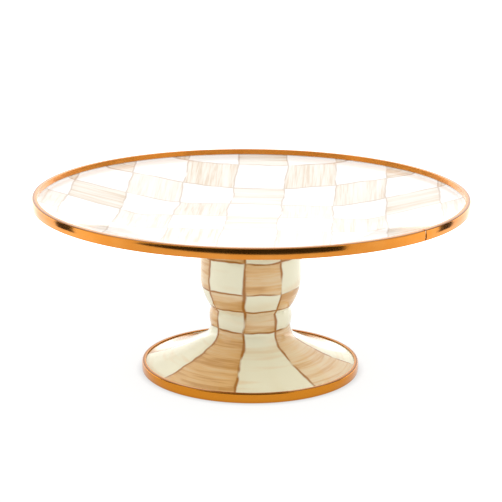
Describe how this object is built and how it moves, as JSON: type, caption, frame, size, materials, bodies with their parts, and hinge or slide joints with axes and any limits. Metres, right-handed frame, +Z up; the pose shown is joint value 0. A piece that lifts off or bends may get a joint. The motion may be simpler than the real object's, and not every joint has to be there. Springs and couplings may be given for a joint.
{
  "type": "cake stand",
  "caption": "Footed cake stand: shallow round dish on a hollow flared pedestal, hand-painted check enamel with bronze-toned rim strips.",
  "frame": {"origin": "centre of the foot, on the surface the stand rests on", "axes": "+Z up along the pedestal; the front, from which the dish's seam is seen on the right, faces -Y"},
  "size_m": [0.3046, 0.3046, 0.128],
  "materials": {
    "dish_enamel": "glossy vitreous enamel, white with hand-brushed tan checks",
    "pedestal_enamel": "glossy vitreous enamel, cream with hand-brushed tan checks",
    "bronzed_steel": "polished stainless steel with a bronze tone",
    "gasket_rubber": "matte grey rubber",
    "zinc_steel": "zinc plated"
  },
  "bodies": {
    "root": {"platter_pan": "dish_enamel", "platter_rim_strip": "bronzed_steel", "pedestal_bulb": "pedestal_enamel", "pedestal_foot": "pedestal_enamel", "foot_rim_strip": "bronzed_steel", "seat_gasket": "gasket_rubber", "platter_stud": "zinc_steel", "clamp_washer": "zinc_steel", "lock_washer": "zinc_steel", "clamp_nut": "zinc_steel"}
  },
  "joints": []
}
